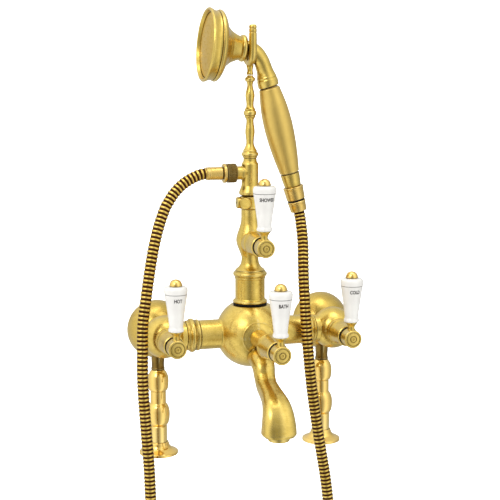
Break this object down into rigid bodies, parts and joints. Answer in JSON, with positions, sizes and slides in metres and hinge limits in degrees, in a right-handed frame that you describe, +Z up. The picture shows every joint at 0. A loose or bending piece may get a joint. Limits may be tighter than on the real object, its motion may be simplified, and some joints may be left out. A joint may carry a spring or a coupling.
{
  "type": "bath faucet",
  "caption": "Exposed bath and shower mixer in brushed brass: ball body on turned deck pillars, porcelain lever handles, curved spout, and a telephone handset held in a fork on a riser",
  "frame": {"origin": "On the deck plane, straight below the centre of the mixer's ball and of the riser", "axes": "+Z up along the riser, +X to the right seen from the front (the cold side), -Y out over the bath"},
  "size_m": [0.2434, 0.1748, 0.7584],
  "materials": {
    "brushed_brass": "satin brushed brass, pale gold",
    "polished_brass": "polished brass, orange gold",
    "aged_brass": "dark bronzed brass, fine knurling",
    "hose_metal": "brass plated ribbed hose metal",
    "porcelain": "white glazed porcelain",
    "black_rubber": "matte black rubber",
    "rose_metal": "satin brass with spray holes"
  },
  "bodies": {
    "fixed_body": {"mixer_body": "brushed_brass", "hot_arm_collar": "brushed_brass", "cold_arm_collar": "brushed_brass", "hot_valve_body": "brushed_brass", "cold_valve_body": "brushed_brass", "hot_escutcheon": "brushed_brass", "cold_escutcheon": "brushed_brass", "hot_inlet_elbow": "polished_brass", "cold_inlet_elbow": "polished_brass", "hot_pillar": "polished_brass", "cold_pillar": "polished_brass", "hot_foot_flange": "polished_brass", "cold_foot_flange": "polished_brass", "spout": "brushed_brass", "aerator_ring": "brushed_brass", "riser_gasket": "black_rubber", "riser_union_nut": "brushed_brass", "shower_valve_body": "brushed_brass", "swivel_collar": "brushed_brass", "hose_tee": "brushed_brass", "hose_tee_nut": "aged_brass", "hose_ferrule": "hose_metal", "baluster_stem": "brushed_brass", "cradle_fork": "brushed_brass", "hose": "hose_metal", "hot_bonnet": "brushed_brass", "hot_seal": "black_rubber", "cold_bonnet": "brushed_brass", "cold_seal": "black_rubber", "bath_bonnet": "brushed_brass", "bath_seal": "black_rubber", "shower_bonnet": "brushed_brass", "shower_seal": "black_rubber"},
    "hot_lever": {"hot_spindle": "brushed_brass", "hot_lever_hub": "brushed_brass", "hot_porcelain_handle": "porcelain", "hot_cap_button": "brushed_brass"},
    "cold_lever": {"cold_spindle": "brushed_brass", "cold_lever_hub": "brushed_brass", "cold_porcelain_handle": "porcelain", "cold_cap_button": "brushed_brass"},
    "bath_lever": {"bath_spindle": "brushed_brass", "bath_lever_hub": "brushed_brass", "bath_porcelain_handle": "porcelain", "bath_cap_button": "brushed_brass"},
    "shower_lever": {"shower_spindle": "brushed_brass", "shower_lever_hub": "brushed_brass", "shower_porcelain_handle": "porcelain", "shower_cap_button": "brushed_brass"},
    "handset": {"handset_neck": "brushed_brass", "shower_head_bell": "brushed_brass", "shower_head_rim": "brushed_brass", "rose_plate": "rose_metal", "handset_grip": "brushed_brass", "handset_ferrule": "brushed_brass", "handset_tail_nut": "hose_metal", "handset_washer": "black_rubber", "hose_cone_nut": "hose_metal"}
  },
  "joints": [
    {"name": "hot_lever_turn", "type": "hinge", "parent": "fixed_body", "child": "hot_lever", "pos_m": [-0.09, -0.057, 0.132], "axis": [0, -1, 0], "range_deg": [0, 90]},
    {"name": "cold_lever_turn", "type": "hinge", "parent": "fixed_body", "child": "cold_lever", "pos_m": [0.09, -0.057, 0.132], "axis": [0, 1, 0], "range_deg": [0, 90]},
    {"name": "bath_lever_turn", "type": "hinge", "parent": "fixed_body", "child": "bath_lever", "pos_m": [0, -0.1085, 0.132], "axis": [0, 1, 0], "range_deg": [0, 90]},
    {"name": "shower_lever_turn", "type": "hinge", "parent": "fixed_body", "child": "shower_lever", "pos_m": [0, -0.053, 0.2265], "axis": [0, 1, 0], "range_deg": [0, 90]},
    {"name": "handset_lift", "type": "slide", "parent": "fixed_body", "child": "handset", "axis": [0, 0, 1], "range_m": [0, 0.05]}
  ]
}
